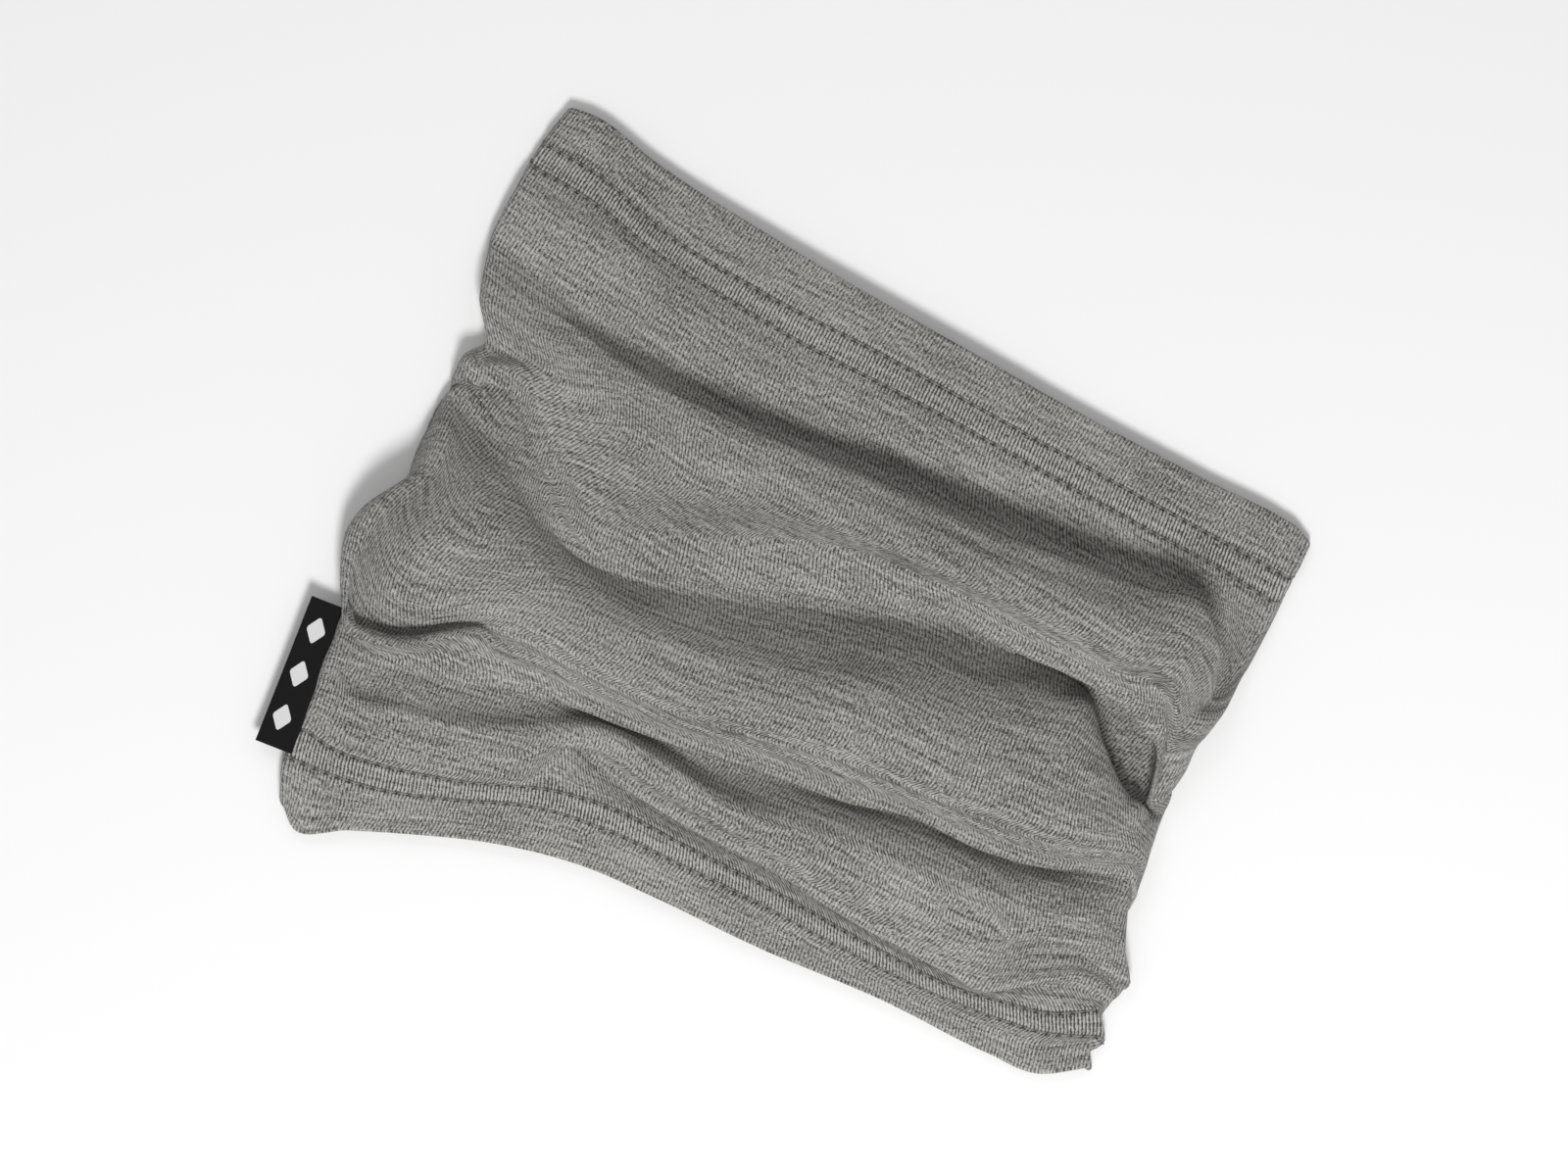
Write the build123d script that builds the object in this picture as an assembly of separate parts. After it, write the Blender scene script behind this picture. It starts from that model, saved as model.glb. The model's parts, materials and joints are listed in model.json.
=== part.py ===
from build123d import *
import math
import os

# A neck gaiter: one panel of fine wool jersey, sewn into a tube down its left side and hemmed at both ends.
# It lies on its back, pressed flat and bunched along its length, more on the right than on the left.
# +X runs across the tube, along the top hem; +Y runs along the tube, towards the top hem; +Z is up.
# The origin is at the middle of the footprint, on the surface the gaiter lies on. Lengths are millimetres.

# Overall sizes of the tube as it lies
flat_width = 232.0  # across the tube, which is half its circumference
left_length = 206.0  # down the seamed side, hem to hem
right_length = 155.0  # down the other side, where the cloth is bunched more
left_drift = 26.0  # how far the seamed side leans inwards by the bottom hem
right_drift = 22.0  # how far the other side leans outwards by the bottom hem
hem_crown = 14.0  # height of the tube at each hem
body_crown = 29.0  # height of the tube halfway, over the bunched folds
fullness = 0.85  # share of the crown's rise reached partway to each side
fold_radius = 5.0  # outside radius of the two side folds
underside_press = 0.05  # how far the underside is pressed flat by the surface it lies on
stations = (0.0, 0.25, 0.5, 0.75, 1.0)  # cross-sections, from the top hem to the bottom hem

# Cloth, hems and side seam
cloth = 0.9  # thickness of one layer of jersey
outer_row = 15.2  # hem edge to the first needle row
row_gap = 6.7  # between the two needle rows
hem_margin = 1.1  # cloth turned in beyond the second needle row
seam_allowance = 6.0  # how far the two joined edges stand into the tube

# Sewing threads
thread_radius = 0.25
stitch_pitch = 3.2
stitch_length = 2.4
pressed_depth = 0.6  # how deep the stitches underneath are pressed into the cloth
loop_wire = 0.45  # width of an overlock loop
loop_lift = 0.4  # how far an overlock loop stands off the cloth
loop_bite = 2.2  # how far an overlock loop reaches in from the raw edges
seam_pitch = 3.6

# Ribbon label sewn into the side seam
label_length = 42.0  # along the seam
label_reach = 9.0  # outwards from the seam
label_ply = 0.4
label_gap = 0.15  # between the two plies of the folded ribbon
label_place = 0.825  # share of the seamed side, from the top hem to the label's middle
hinge_gap = 1.0  # side fold to the line about which the label swings
mark_count = 3
mark_width = 5.6  # across the ribbon
mark_height = 8.0  # along the ribbon
mark_relief = 0.12
mark_rounding = 0.8

# Care label sewn into the same seam, inside the tube
care_width = 22.0  # along the seam
care_reach = 30.0  # flat part, lying on the back layer
care_ply = 0.35
care_drop = 6.0  # run over which it drops from the seam to the back layer
care_clearance = 0.25  # above the back layer
sewing_gap = 0.05  # between it and the seam allowance that it is sewn to
care_place = 0.6

# Places and sizes that follow from those above
top_edge = left_length / 2
middle_x = right_drift / 2
inner_row = outer_row + row_gap
hem_depth = inner_row + hem_margin
mark_pitch = 0.3 * label_length


def left_edge(share):
    """The tube's left side at a share of its length, seen from above."""
    lean = left_drift * share * (0.6 + 0.4 * share)
    return Vector(-flat_width / 2 + lean - middle_x, top_edge - left_length * share, 0)


def right_edge(share):
    """The tube's right side at a share of its length, seen from above."""
    lean = right_drift * share**2
    return Vector(flat_width / 2 + lean - middle_x, top_edge - right_length * share, 0)


def station_plane(share):
    """An upright plane across the tube: local X from the left side to the right, local Y up."""
    left, right = left_edge(share), right_edge(share)
    across = (right - left).normalized()
    origin = (left + right) / 2 - Vector(0, 0, underside_press)
    return Plane(origin=origin, x_dir=across, z_dir=Vector(across.Y, -across.X, 0))


def station_width(share):
    return (right_edge(share) - left_edge(share)).length


def section_face(share, inset):
    """The flattened tube's cross-section, moved in from the outside by inset."""
    nose = station_width(share) / 2 - fold_radius
    crown = hem_crown + (body_crown - hem_crown) * math.sin(math.pi * share) - inset
    low, high, tip = inset, 2 * fold_radius - inset, nose + fold_radius - inset
    shoulder, full = 0.6 * nose, high + fullness * (crown - high)
    rise = [(nose, high), (shoulder, full), (0, crown), (-shoulder, full), (-nose, high)]
    bottom = Line((-nose, low), (nose, low))
    right = ThreePointArc((nose, low), (tip, fold_radius), (nose, high))
    top = Spline(*rise, tangents=[(-1, 0), (-1, 0)])
    left = ThreePointArc((-nose, high), (-tip, fold_radius), (-nose, low))
    return station_plane(share) * make_face([bottom, right, top, left])


def tube_solid(inset):
    return loft([section_face(share, inset) for share in stations])


def hem_plane(share, depth):
    """The hem's own plane, moved into the tube by depth; its normal points out of that mouth."""
    plane = station_plane(share)
    outwards = -plane.z_dir if share < 0.5 else plane.z_dir
    return Plane(origin=plane.origin - outwards * depth, x_dir=plane.x_dir, z_dir=outwards)


def seam_flange():
    """The two joined edges, which stand into the tube along its left side."""
    faces = []
    for share in stations:
        inner_wall = -station_width(share) / 2 + cloth / 2
        width = cloth / 2 + seam_allowance
        outline = Pos(inner_wall + width / 2, fold_radius) * Rectangle(width, 2 * cloth)
        faces.append(station_plane(share) * outline)
    return loft(faces)


def fabric_tube(outside, inside):
    """One layer of jersey all round, two layers at each hem, open at both ends."""
    body_space = tube_solid(cloth)
    for share in (0.0, 1.0):
        body_space = split(body_space, bisect_by=hem_plane(share, hem_depth), keep=Keep.BOTTOM)
    tube = outside - inside - body_space + seam_flange()
    room = 2 * (flat_width + left_length)
    above_table = Pos(0, 0, room / 2) * Box(room, room, room)
    return tube & above_table


def hem_ring(outside, share, depth):
    """The tube's outline where a sewing row runs round it."""
    return section(outside, section_by=hem_plane(share, depth)).faces()[0].outer_wire()


def thread_bar(place, along, length, radius):
    """A short straight length of thread, centred on place."""
    return Plane(origin=place, z_dir=along) * Cylinder(radius, length)


def ring_places(ring, normal, count):
    """Evenly spaced places round an outline: the point, the way along, and the way into the tube."""
    for number in range(count):
        where = (number + 0.5) / count
        place, along = ring.position_at(where), ring.tangent_at(where)
        inwards = along.cross(normal).normalized()
        if inwards.Z * (fold_radius - place.Z) < 0:
            inwards = -inwards
        yield place, along, inwards


def stitch_count(ring):
    return round(ring.length / stitch_pitch)


def needle_row(outside, share, depth):
    """The stitches of one needle, round the whole hem; those underneath are pressed into the cloth."""
    ring = hem_ring(outside, share, depth)
    stitches = []
    for place, along, inwards in ring_places(ring, hem_plane(share, depth).z_dir, stitch_count(ring)):
        sunk = pressed_depth if place.Z < fold_radius / 4 else 0
        stitches.append(thread_bar(place + inwards * sunk, along, stitch_length, thread_radius))
    return Compound(children=stitches)


def looper_row(inside, share):
    """The looper thread inside a hem: a slanting bar for each stitch, from one needle row to the other."""
    near, far = hem_ring(inside, share, outer_row), hem_ring(inside, share, inner_row)
    normal, count = hem_plane(share, 0).z_dir, stitch_count(near)
    slant = stitch_pitch / 2
    bars = []
    starts, ends = ring_places(near, normal, count), ring_places(far, normal, count)
    for (start, along, inwards), (end, _, _) in zip(starts, ends):
        run = end + along * slant - start
        place = start + run / 2 + inwards * thread_radius
        bars.append(thread_bar(place, run.normalized(), run.length, thread_radius))
    return Compound(children=bars)


def seam_places(count):
    """Evenly spaced planes down the raw edges of the side seam."""
    for number in range(count):
        share = (number + 0.5) / count
        plane = station_plane(share)
        raw_edge = Vector(-station_width(share) / 2 + cloth + seam_allowance, fold_radius, 0)
        yield Plane(origin=plane.from_local_coords(raw_edge), x_dir=plane.x_dir, z_dir=plane.z_dir)


def seam_looper():
    """Overlock loops, each wrapped round the two raw edges."""
    outside = Rectangle(loop_bite + loop_lift, 2 * cloth + 2 * loop_lift)
    inside = Pos(-loop_lift, 0) * Rectangle(loop_bite + loop_lift, 2 * cloth)
    loop = extrude(Pos((loop_lift - loop_bite) / 2, 0) * (outside - inside), loop_wire / 2, both=True)
    return Compound(children=[plane * loop for plane in seam_places(round(left_length / seam_pitch))])


def seam_needle():
    """The overlock's needle stitches, on the front of the seam allowance."""
    stitches = []
    for plane in seam_places(round(left_length / stitch_pitch)):
        place = plane.from_local_coords(Vector(-loop_bite - 1, cloth + thread_radius / 2, 0))
        stitches.append(thread_bar(place, plane.z_dir, stitch_length, thread_radius))
    return Compound(children=stitches)


def up_the_seam(share):
    """The direction of the seamed side there, towards the top hem."""
    step = 0.01
    return (left_edge(share - step) - left_edge(share + step)).normalized()


def label_plane():
    """At the label's swing line: local X outwards from the seam, local Z up."""
    along = up_the_seam(label_place)
    outwards = Vector(-along.Y, along.X, 0)
    origin = left_edge(label_place) + outwards * hinge_gap + Vector(0, 0, fold_radius)
    return Plane(origin=origin, x_dir=outwards, z_dir=Vector(0, 0, 1))


def side_label():
    """A ribbon folded in half, its fold outwards, with both ends in the seam."""
    thick = 2 * label_ply + label_gap
    ribbon = Pos(label_reach / 2, 0) * Box(label_reach, label_length, thick)
    ribbon = fillet(ribbon.edges().filter_by(Axis.Y).group_by(Axis.X)[-1], 0.45 * thick)
    slit_length = label_reach - thick
    slit = Pos(slit_length / 2, 0) * Box(slit_length, label_length, label_gap)
    return label_plane() * (ribbon - slit)


def label_marks():
    """Plain lozenges woven in white, alike on both faces of the label."""
    half_width, half_height = mark_width / 2, mark_height / 2
    corners = [(half_width, 0), (0, half_height), (-half_width, 0), (0, -half_height)]
    outline = fillet(make_face(Polyline(*corners, close=True)).vertices(), mark_rounding)
    face = label_ply + label_gap / 2
    marks = []
    for number in range(mark_count):
        centre = (number - (mark_count - 1) / 2) * mark_pitch
        for height in (face, -face - mark_relief):
            mark = Pos(label_reach / 2, centre, height) * extrude(outline, mark_relief)
            marks.append(label_plane() * mark)
    return Compound(children=marks)


def care_label():
    """A blank ribbon held under the seam allowance, dropping on to the back layer of the tube."""
    down_seam = -up_the_seam(care_place)
    inwards = Vector(-down_seam.Y, down_seam.X, 0)
    side = left_edge(care_place) - Vector(0, 0, underside_press)
    plane = Plane(origin=side, x_dir=inwards, z_dir=down_seam)
    sewn_from, raw_edge = 2 * cloth, cloth + seam_allowance
    high = fold_radius - cloth - care_ply / 2 - sewing_gap
    low = cloth + underside_press + care_clearance + care_ply / 2
    middle, landing = raw_edge + care_drop / 2, raw_edge + care_drop
    drop = [(raw_edge, high), (middle, (high + low) / 2), (landing, low)]
    line = Line((sewn_from, high), (raw_edge, high))
    line += Spline(*drop, tangents=[(1, 0), (1, 0)])
    line += Line((landing, low), (landing + care_reach, low))
    return extrude(plane * trace(line, care_ply), care_width / 2, both=True)


def write(name, shape):
    export_step(shape, os.path.join("parts", name + ".step"))


os.makedirs("parts", exist_ok=True)
outer = tube_solid(0)
inner = tube_solid(2 * cloth)
write("fabric_tube", fabric_tube(outer, inner))
for hem, end in (("top_hem", 0.0), ("bottom_hem", 1.0)):
    write(hem + "_outer_needle_thread", needle_row(outer, end, outer_row))
    write(hem + "_inner_needle_thread", needle_row(outer, end, inner_row))
    write(hem + "_looper_thread", looper_row(inner, end))
write("side_seam_needle_thread", seam_needle())
write("side_seam_looper_thread", seam_looper())
write("side_label", side_label())
write("side_label_marks", label_marks())
write("care_label", care_label())
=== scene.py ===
import functools
import json
import math

import bmesh
import bpy
import numpy as np
from mathutils import Matrix, Vector, noise


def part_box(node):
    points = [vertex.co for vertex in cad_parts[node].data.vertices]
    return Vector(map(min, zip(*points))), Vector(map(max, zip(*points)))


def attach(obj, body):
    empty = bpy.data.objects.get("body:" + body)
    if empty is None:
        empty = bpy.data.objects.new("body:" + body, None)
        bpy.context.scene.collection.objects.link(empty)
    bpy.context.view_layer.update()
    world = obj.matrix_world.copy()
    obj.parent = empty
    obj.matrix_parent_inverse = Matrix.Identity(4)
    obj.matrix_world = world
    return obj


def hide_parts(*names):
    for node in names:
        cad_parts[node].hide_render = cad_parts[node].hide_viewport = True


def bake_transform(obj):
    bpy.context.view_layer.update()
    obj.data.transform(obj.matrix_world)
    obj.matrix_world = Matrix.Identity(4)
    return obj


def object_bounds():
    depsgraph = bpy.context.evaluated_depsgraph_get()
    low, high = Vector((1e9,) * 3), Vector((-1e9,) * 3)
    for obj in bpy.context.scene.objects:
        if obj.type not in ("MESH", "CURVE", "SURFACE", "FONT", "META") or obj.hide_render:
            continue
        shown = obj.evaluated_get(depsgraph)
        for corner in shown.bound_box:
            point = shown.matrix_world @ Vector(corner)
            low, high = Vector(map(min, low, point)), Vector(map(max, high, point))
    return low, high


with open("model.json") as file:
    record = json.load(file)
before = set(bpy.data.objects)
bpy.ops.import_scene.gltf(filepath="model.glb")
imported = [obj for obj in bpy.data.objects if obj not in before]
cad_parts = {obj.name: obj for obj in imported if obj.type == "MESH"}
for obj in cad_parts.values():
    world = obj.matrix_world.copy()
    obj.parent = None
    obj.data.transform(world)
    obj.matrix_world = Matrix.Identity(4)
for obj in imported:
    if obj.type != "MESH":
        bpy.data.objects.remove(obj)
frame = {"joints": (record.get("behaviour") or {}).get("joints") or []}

bl_info = {
    "name": "Neck gaiter",
    "version": (1, 0, 0),
    "blender": (4, 5, 0),
    "location": "3D View > Sidebar > Gaiter",
    "description": "Builds a knitted neck gaiter that lies flat and bunched",
    "category": "Object",
}

MM = 0.001
CAD_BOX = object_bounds()
VIEW_MIDDLE = (-0.011, 0.019)
FLOOR_SIZE = 8
SENSOR_WIDTH = 36

# Lines drawn across the front of the cloth from its left side to its right, as (x, y, height) in millimetres.
# The first and last point of each line are on the outline of the gaiter.
TOP_HEM = {
    "edge": [(-127.5, 102.5, 3.6), (-121, 103.4, 4), (-100, 101, 4.6), (-60, 99.5, 5.2), (0, 100, 5.6),
             (50, 101.3, 5.2), (75, 102.6, 4.8), (96, 104.1, 4.3), (101, 103.9, 4), (106, 102.6, 3.6)],
    "outer": [(-129, 90, 3.8), (-110, 90, 4.8), (-90, 86, 5.6), (-60, 85, 6.4), (-20, 87, 6.6),
              (30, 88.5, 6), (90, 90.5, 4.6), (106.6, 91, 3.8)],
    "inner": [(-129.3, 83, 4), (-110, 83, 5.2), (-88, 80, 6.2), (-50, 78.5, 7), (0, 81, 7), (60, 82.5, 5.8),
              (90, 83.5, 4.6), (107, 83, 3.9)],
}
BELOW_TOP_HEM = [
    [(-128.8, 76, 5), (-100, 74, 7.6), (-75, 71, 8.4), (-50, 69, 8.4), (0, 74, 7.4), (50, 78, 5.6),
     (90, 79.4, 4.6), (107.6, 75, 3.8)],
    [(-128.2, 67, 4.2), (-100, 64, 5.8), (-75, 61, 7), (-50, 61, 7.4), (0, 67, 6.4), (50, 73, 4.8),
     (88, 77, 3.8), (98, 75, 3.8), (107.9, 67.5, 3.9)],
    [(-127.6, 59, 4.2), (-100, 56.6, 5.2), (-80, 53.4, 5.4), (-50, 54, 5), (-20, 57.4, 4.6), (0, 60.6, 4.2),
     (40, 65.8, 3.6), (75, 72.8, 3.2), (88, 75, 3.2), (95, 72.6, 3.2), (102, 65.4, 3.6), (108.1, 58.5, 5)],
]
# A fold: x, y and height of the lip where it turns under, and how far the cloth drops beyond it.
RISE = [(-126.5, 53, 6.6, 0), (-100, 51.5, 8.4, 1.4), (-80, 49, 11.5, 4.4), (-50, 50, 13.5, 7),
        (-20, 53.5, 14.8, 8.4), (0, 56.5, 15.5, 9.4), (40, 61.5, 16.5, 11), (75, 68.4, 16, 11),
        (88, 71.5, 15.6, 10.6), (94, 68, 15, 9), (100, 61, 12.4, 6), (108.2, 51.2, 7.6, 1)]
RIDGE_ONE = [
    [(-122, 44, 8.4), (-100, 44.5, 10.8), (-75, 43, 13.5), (-50, 42.5, 15), (-20, 46, 17.5), (0, 49, 19.5),
     (40, 53.5, 21.5), (75, 59, 21), (92, 59.5, 18), (108.3, 45.6, 12.4)],
    [(-114.4, 34.2, 6.5), (-100, 37, 9.8), (-75, 32, 11.5), (-50, 29, 13.2), (-25, 36, 16.8), (0, 41, 19.8),
     (40, 45.5, 22), (75, 49, 21.5), (93, 49.4, 18), (107.8, 40.2, 12.6)],
    [(-118, 28.6, 8), (-105, 32, 10.4), (-90, 26, 9.6), (-78, 18, 9.4), (-64, 9, 10.4), (-50, 14, 13.4),
     (-30, 24, 17), (-10, 34, 19), (20, 41, 20.8), (50, 43, 21), (75, 45, 20), (94, 43.6, 17),
     (106.8, 34.2, 12)],
]
LIP_ONE = [(-117.2, 23.6, 6.4, 3), (-105, 27, 8, 5), (-97, 24.5, 8, 4.4), (-88, 17, 7.6, 2),
           (-78, 9, 7.8, 0.5), (-66, 0.5, 8.4, 0.6), (-50, 3, 10, 4), (-30, 10, 12.4, 7),
           (0, 22.5, 15, 9.6), (15, 28, 15.8, 11), (30, 34.3, 16, 11.6), (50, 35.6, 16, 11.6),
           (78, 38, 15, 11.6), (92, 35.2, 13, 10), (100.6, 28, 10.6, 7), (107.3, 19, 7.4, 2.6)]
VALLEY_ONE = [
    [(-116.8, 20.5, 4), (-105, 21, 3.2), (-95, 16.5, 3.8), (-84, 8.5, 5.6), (-68, -1.8, 7),
     (-50, -0.8, 5.6), (-30, 6, 5.8), (0, 19, 5.6), (25, 30, 5.2), (50, 35.5, 5), (70, 37.2, 4.4),
     (80, 34, 3), (90, 28, 2.6), (98, 23, 2.9), (104, 19, 3), (108.3, 17.8, 3.6)],
    [(-116.4, 17, 4.4), (-105, 14.4, 4.2), (-90, 7.6, 6), (-75, -1, 8.4), (-60, -4, 8.8), (-45, -4, 8.8),
     (-25, 2, 8.6), (0, 13, 8), (25, 24.5, 7.6), (50, 30.5, 7.4), (68, 36, 7), (76, 35.2, 5),
     (82, 29.4, 3.6), (90, 22.8, 3.4), (98, 18.3, 3.2), (104, 17, 3.4), (108.5, 16.8, 4)],
]
RIDGE_TWO = [
    [(-115.8, 13, 6.8), (-100, 6.4, 9.8), (-85, 1, 10.9), (-70, -5, 11.6), (-55, -7, 11.8), (-40, -7, 11.9),
     (-20, -2, 12), (0, 6, 11.8), (25, 17.5, 11.6), (50, 24.5, 11.4), (68, 31.5, 11.4), (76, 33.6, 11),
     (82, 28, 11.8), (90, 21.5, 11.2), (98, 17, 10.2), (104, 15.8, 9), (109, 14.4, 7.4)],
    [(-114.2, 7, 9.4), (-100, 0, 14.4), (-80, -6.4, 15), (-50, -12, 14.6), (-20, -7, 15), (0, -1, 15.6),
     (25, 9, 16.2), (50, 14, 16.4), (75, 19, 16), (90, 13, 14.5), (100, 10.4, 12.6), (110, 11, 9)],
    [(-114.4, -2.5, 11), (-100, -10, 16), (-80, -14, 16.2), (-50, -17.5, 16), (-20, -14.5, 16.6),
     (0, -9, 17.2), (25, 0, 17.8), (50, 3.4, 18), (75, 7, 17.4), (95, 6.4, 15), (111, 8.6, 10)],
    [(-120.2, -15.5, 11.4), (-105, -22.5, 16), (-90, -23, 16.6), (-75, -20.5, 16), (-50, -22.5, 16),
     (-20, -19.5, 16.8), (0, -14.5, 17.4), (25, -7, 17.8), (50, -4, 17.8), (75, 0.6, 17.2), (95, 3, 14.8),
     (111.8, 6.6, 10)],
    [(-121.2, -27, 10.4), (-105, -35, 14.2), (-92, -34.5, 15.6), (-78, -27, 15.8), (-60, -25, 16),
     (-20, -21.8, 16.8), (0, -17, 17.3), (25, -9.6, 17.7), (50, -6.4, 17.7), (75, -2.4, 17), (95, 1, 14.4),
     (112.2, 5, 9.6)],
]
BULGE_FOOT = [
    [(-118.6, -36.5, 8), (-108, -42.8, 8), (-100, -44.2, 8.2), (-91, -40.4, 9.6), (-82, -32.6, 12.4),
     (-72, -26.6, 15), (-50, -26, 15.8), (-20, -23, 16.5), (0, -18, 17), (25, -10.8, 17.4),
     (50, -7.8, 17.4), (75, -4, 16.8), (95, 0, 14.2), (112.4, 4.4, 9.4)],
]
LIP_BULGE = [(-114, -43.6, 7.4, 0), (-108, -46.8, 9.4, 3), (-100, -47.4, 11.4, 5.4),
             (-91, -43.6, 12.8, 5.2), (-82, -36, 14, 3.4), (-73, -30, 14.8, 1), (-50, -28, 15.4, 0),
             (-20, -24.6, 16, 0), (0, -19.6, 16.7, 0), (25, -12.6, 17.1, 0), (50, -9.4, 17.1, 0),
             (75, -5.8, 16.4, 0), (95, -1.4, 13.6, 0), (112.6, 3.4, 9.1, 0)]
RIDGE_TWO_FOOT = [
    [(-110.6, -50, 7), (-100, -51, 11.2), (-90, -47.6, 13), (-80, -41.4, 13.8), (-65, -36, 14),
     (-45, -32.4, 14), (-20, -28.8, 14.8), (0, -23.7, 15.5), (25, -18, 16), (50, -12.5, 16),
     (75, -9.2, 15.2), (95, -3.2, 12.6), (112.9, 2, 8.6)],
]
LIP_TWO = [(-109.8, -54, 7.4, 1), (-100, -55, 9, 4), (-85, -51.2, 10.8, 6), (-65, -43.8, 11.4, 6),
           (-48, -38.2, 11.2, 5), (-30, -35, 11, 4.6), (0, -29, 11.6, 4.6), (17, -25, 12, 4.6),
           (32, -22, 12.2, 4.6), (50, -16.6, 12.2, 4.6), (70, -14.5, 11.6, 4.4), (88, -10, 10.4, 3.6),
           (100, -4.6, 8.8, 2.6), (113.3, -1.4, 7.2, 1.4)]
RIDGE_THREE = [
    [(-109, -59.5, 7), (-100, -62, 5.6), (-85, -59, 5.8), (-60, -49.4, 7), (-46, -41.4, 8.4),
     (-36, -38, 9.6), (-20, -35.4, 8), (0, -34.4, 8.2), (10, -33, 9.2), (20, -30, 11), (40, -24.2, 12),
     (60, -20.4, 12.2), (80, -18, 11.8), (95, -12.5, 10.8), (115.4, -8.8, 7.6)],
    [(-108.5, -62, 7), (-98, -65, 7), (-85, -62.8, 7.8), (-60, -53.4, 9), (-46, -44.6, 10.4),
     (-36, -39.6, 12.6), (-20, -38, 13.2), (0, -38.6, 12.8), (15, -37, 13.4), (30, -31.5, 14.2),
     (50, -27.5, 14.8), (75, -25.5, 14.4), (92, -20, 13), (105, -17, 11.4), (119.4, -17.5, 8)],
]
LIP_POCKET = [(-108, -64.6, 6, 0), (-85, -65.5, 7.6, 0), (-60, -57.5, 8.8, 0), (-45, -48.2, 10, 0),
              (-34, -42.2, 12.4, 0), (-15, -42, 13, 0), (15, -41, 13.8, 0), (40, -37, 14.6, 0),
              (70, -34.5, 14.2, 0), (84, -34, 13.2, 0), (91, -31, 12.2, 2.6), (96, -27.4, 11.4, 5),
              (101, -25.6, 10.4, 5.4), (108, -25.2, 8.8, 4.2), (116, -26, 7.4, 2.6), (124, -27.4, 6.2, 1.6)]
POCKET_FLOOR = [
    [(-107.4, -68, 6), (-85, -68.6, 7.5), (-60, -60.6, 8.8), (-45, -50.6, 9.8), (-33, -44.4, 11),
     (-15, -45.4, 11.6), (15, -44.4, 12.6), (40, -42.6, 13.2), (70, -41, 12.8), (84, -40.4, 11.8),
     (91, -38, 9.4), (97, -33.6, 7), (103, -31.2, 6.2), (109, -29, 5.6), (116, -28, 5), (123, -28.8, 4.2)],
]
LIP_THREE = [(-106.8, -70.6, 7, 0), (-85, -71.4, 7.8, 0), (-60, -63.4, 8.8, 0), (-48, -55.4, 9.4, 0),
             (-40, -46, 10, 2), (-31, -47.6, 10, 4), (-20, -49, 10.6, 5.6), (-5, -49.6, 11, 6.8),
             (20, -48.2, 11, 6.4), (50, -48.7, 11, 6.2), (80, -47.6, 10.4, 5.6), (92, -46.5, 9, 4),
             (98, -42, 7.4, 2.2), (105, -36, 6.6, 1.4), (111, -31, 6, 1.2), (121.4, -29.6, 4.6, 0.8)]
BOTTOM_HEM = {
    "inner": [(-105.4, -80, 5.4), (-95, -80.5, 6.2), (-80, -77.5, 6.8), (-60, -70.5, 7.4), (-40, -61, 7.4),
              (-20, -55.8, 7), (0, -54.8, 6.8), (30, -53, 6.6), (60, -52.4, 6.4), (85, -50.6, 6),
              (98, -47.2, 5.6), (110, -43.6, 5.2), (122.4, -36.5, 4.6)],
    "outer": [(-104.4, -88.5, 4.8), (-95, -87.5, 5.4), (-80, -84.3, 5.8), (-60, -76.3, 6.2),
              (-40, -66.6, 6.2), (-20, -62, 6), (0, -60, 5.8), (30, -58, 5.7), (60, -56.8, 5.5),
              (85, -54.4, 5.2), (100, -51.8, 4.9), (112, -48.8, 4.6), (126.3, -42.6, 4.2)],
    "notch": [(-103, -93, 4.4), (-94, -92.5, 4.8), (-79, -88.5, 5.2), (-60, -80, 5.5), (-40, -70.6, 5.5),
              (-20, -66, 5.3), (0, -64, 5.2), (30, -61.6, 5.1), (60, -59.6, 5), (85, -57.2, 4.8),
              (100, -55, 4.5), (113, -51.6, 4.1), (123.8, -45.2, 3.7)],
    "edge": [(-99.6, -101.4, 3.6), (-93, -105, 3.7), (-80, -98, 4), (-60, -88, 4.2), (-40, -79.5, 4.2),
             (-20, -74, 4.2), (0, -71.5, 4.2), (30, -69, 4.2), (70, -64, 4), (100, -62, 3.8),
             (116, -59.2, 3.7), (126.8, -52, 3.6)],
}

# The flat cloth and its sewing, in millimetres.
CLOTH = 0.9
FABRIC_GIRTH = 464.0
FABRIC_LENGTH = 250.0
SEAM_ALLOWANCE = 6.0
SEAM_THICKNESS = 1.5
SEAM_INWARDS, SEAM_SAG, SEAM_POINTS = 1.3, 0.12, 200
LOOP_REACH, LOOP_HEIGHT = 3.6, 0.98
SEAM_LAY_START, CARE_LAY_START = (200, 100), (150, 150)
# Steps round the fold of a hem: share of half a turn, and distance from the edge along the flat cloth.
HEM_TURN = ((0.8, 0.9), (0.5, 0.5), (0.22, 0.2))
BACK_INSET = 0.5
CARE_WIDTH, CARE_LENGTH, CARE_PLY = 22.0, 38.0, 0.35
LABEL_INSIDE = 1.5
LABEL_LAY_START = 30
# How the label's far edge lies off the flat: its wave along the seam and the curl of its corners.
LABEL_WAVE, CORNER_CURL, CURL_OUT, CURL_UP = 0.25, 0.5, 11, 21
STITCH_COUNT = 145
STITCH_PITCH = FABRIC_GIRTH / STITCH_COUNT
STITCH_SUNK, STITCH_ARCH, STITCH_UNDER = 0.32, 0.52, 0.34
LOOPER_CLEAR = 0.12
OUTER_ROW, INNER_ROW = 13.2, 20.0
HEM_MIDDLE = (OUTER_ROW + INNER_ROW) / 2
STITCH_ROWS = (OUTER_ROW, INNER_ROW, FABRIC_LENGTH - INNER_ROW, FABRIC_LENGTH - OUTER_ROW)
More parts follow.
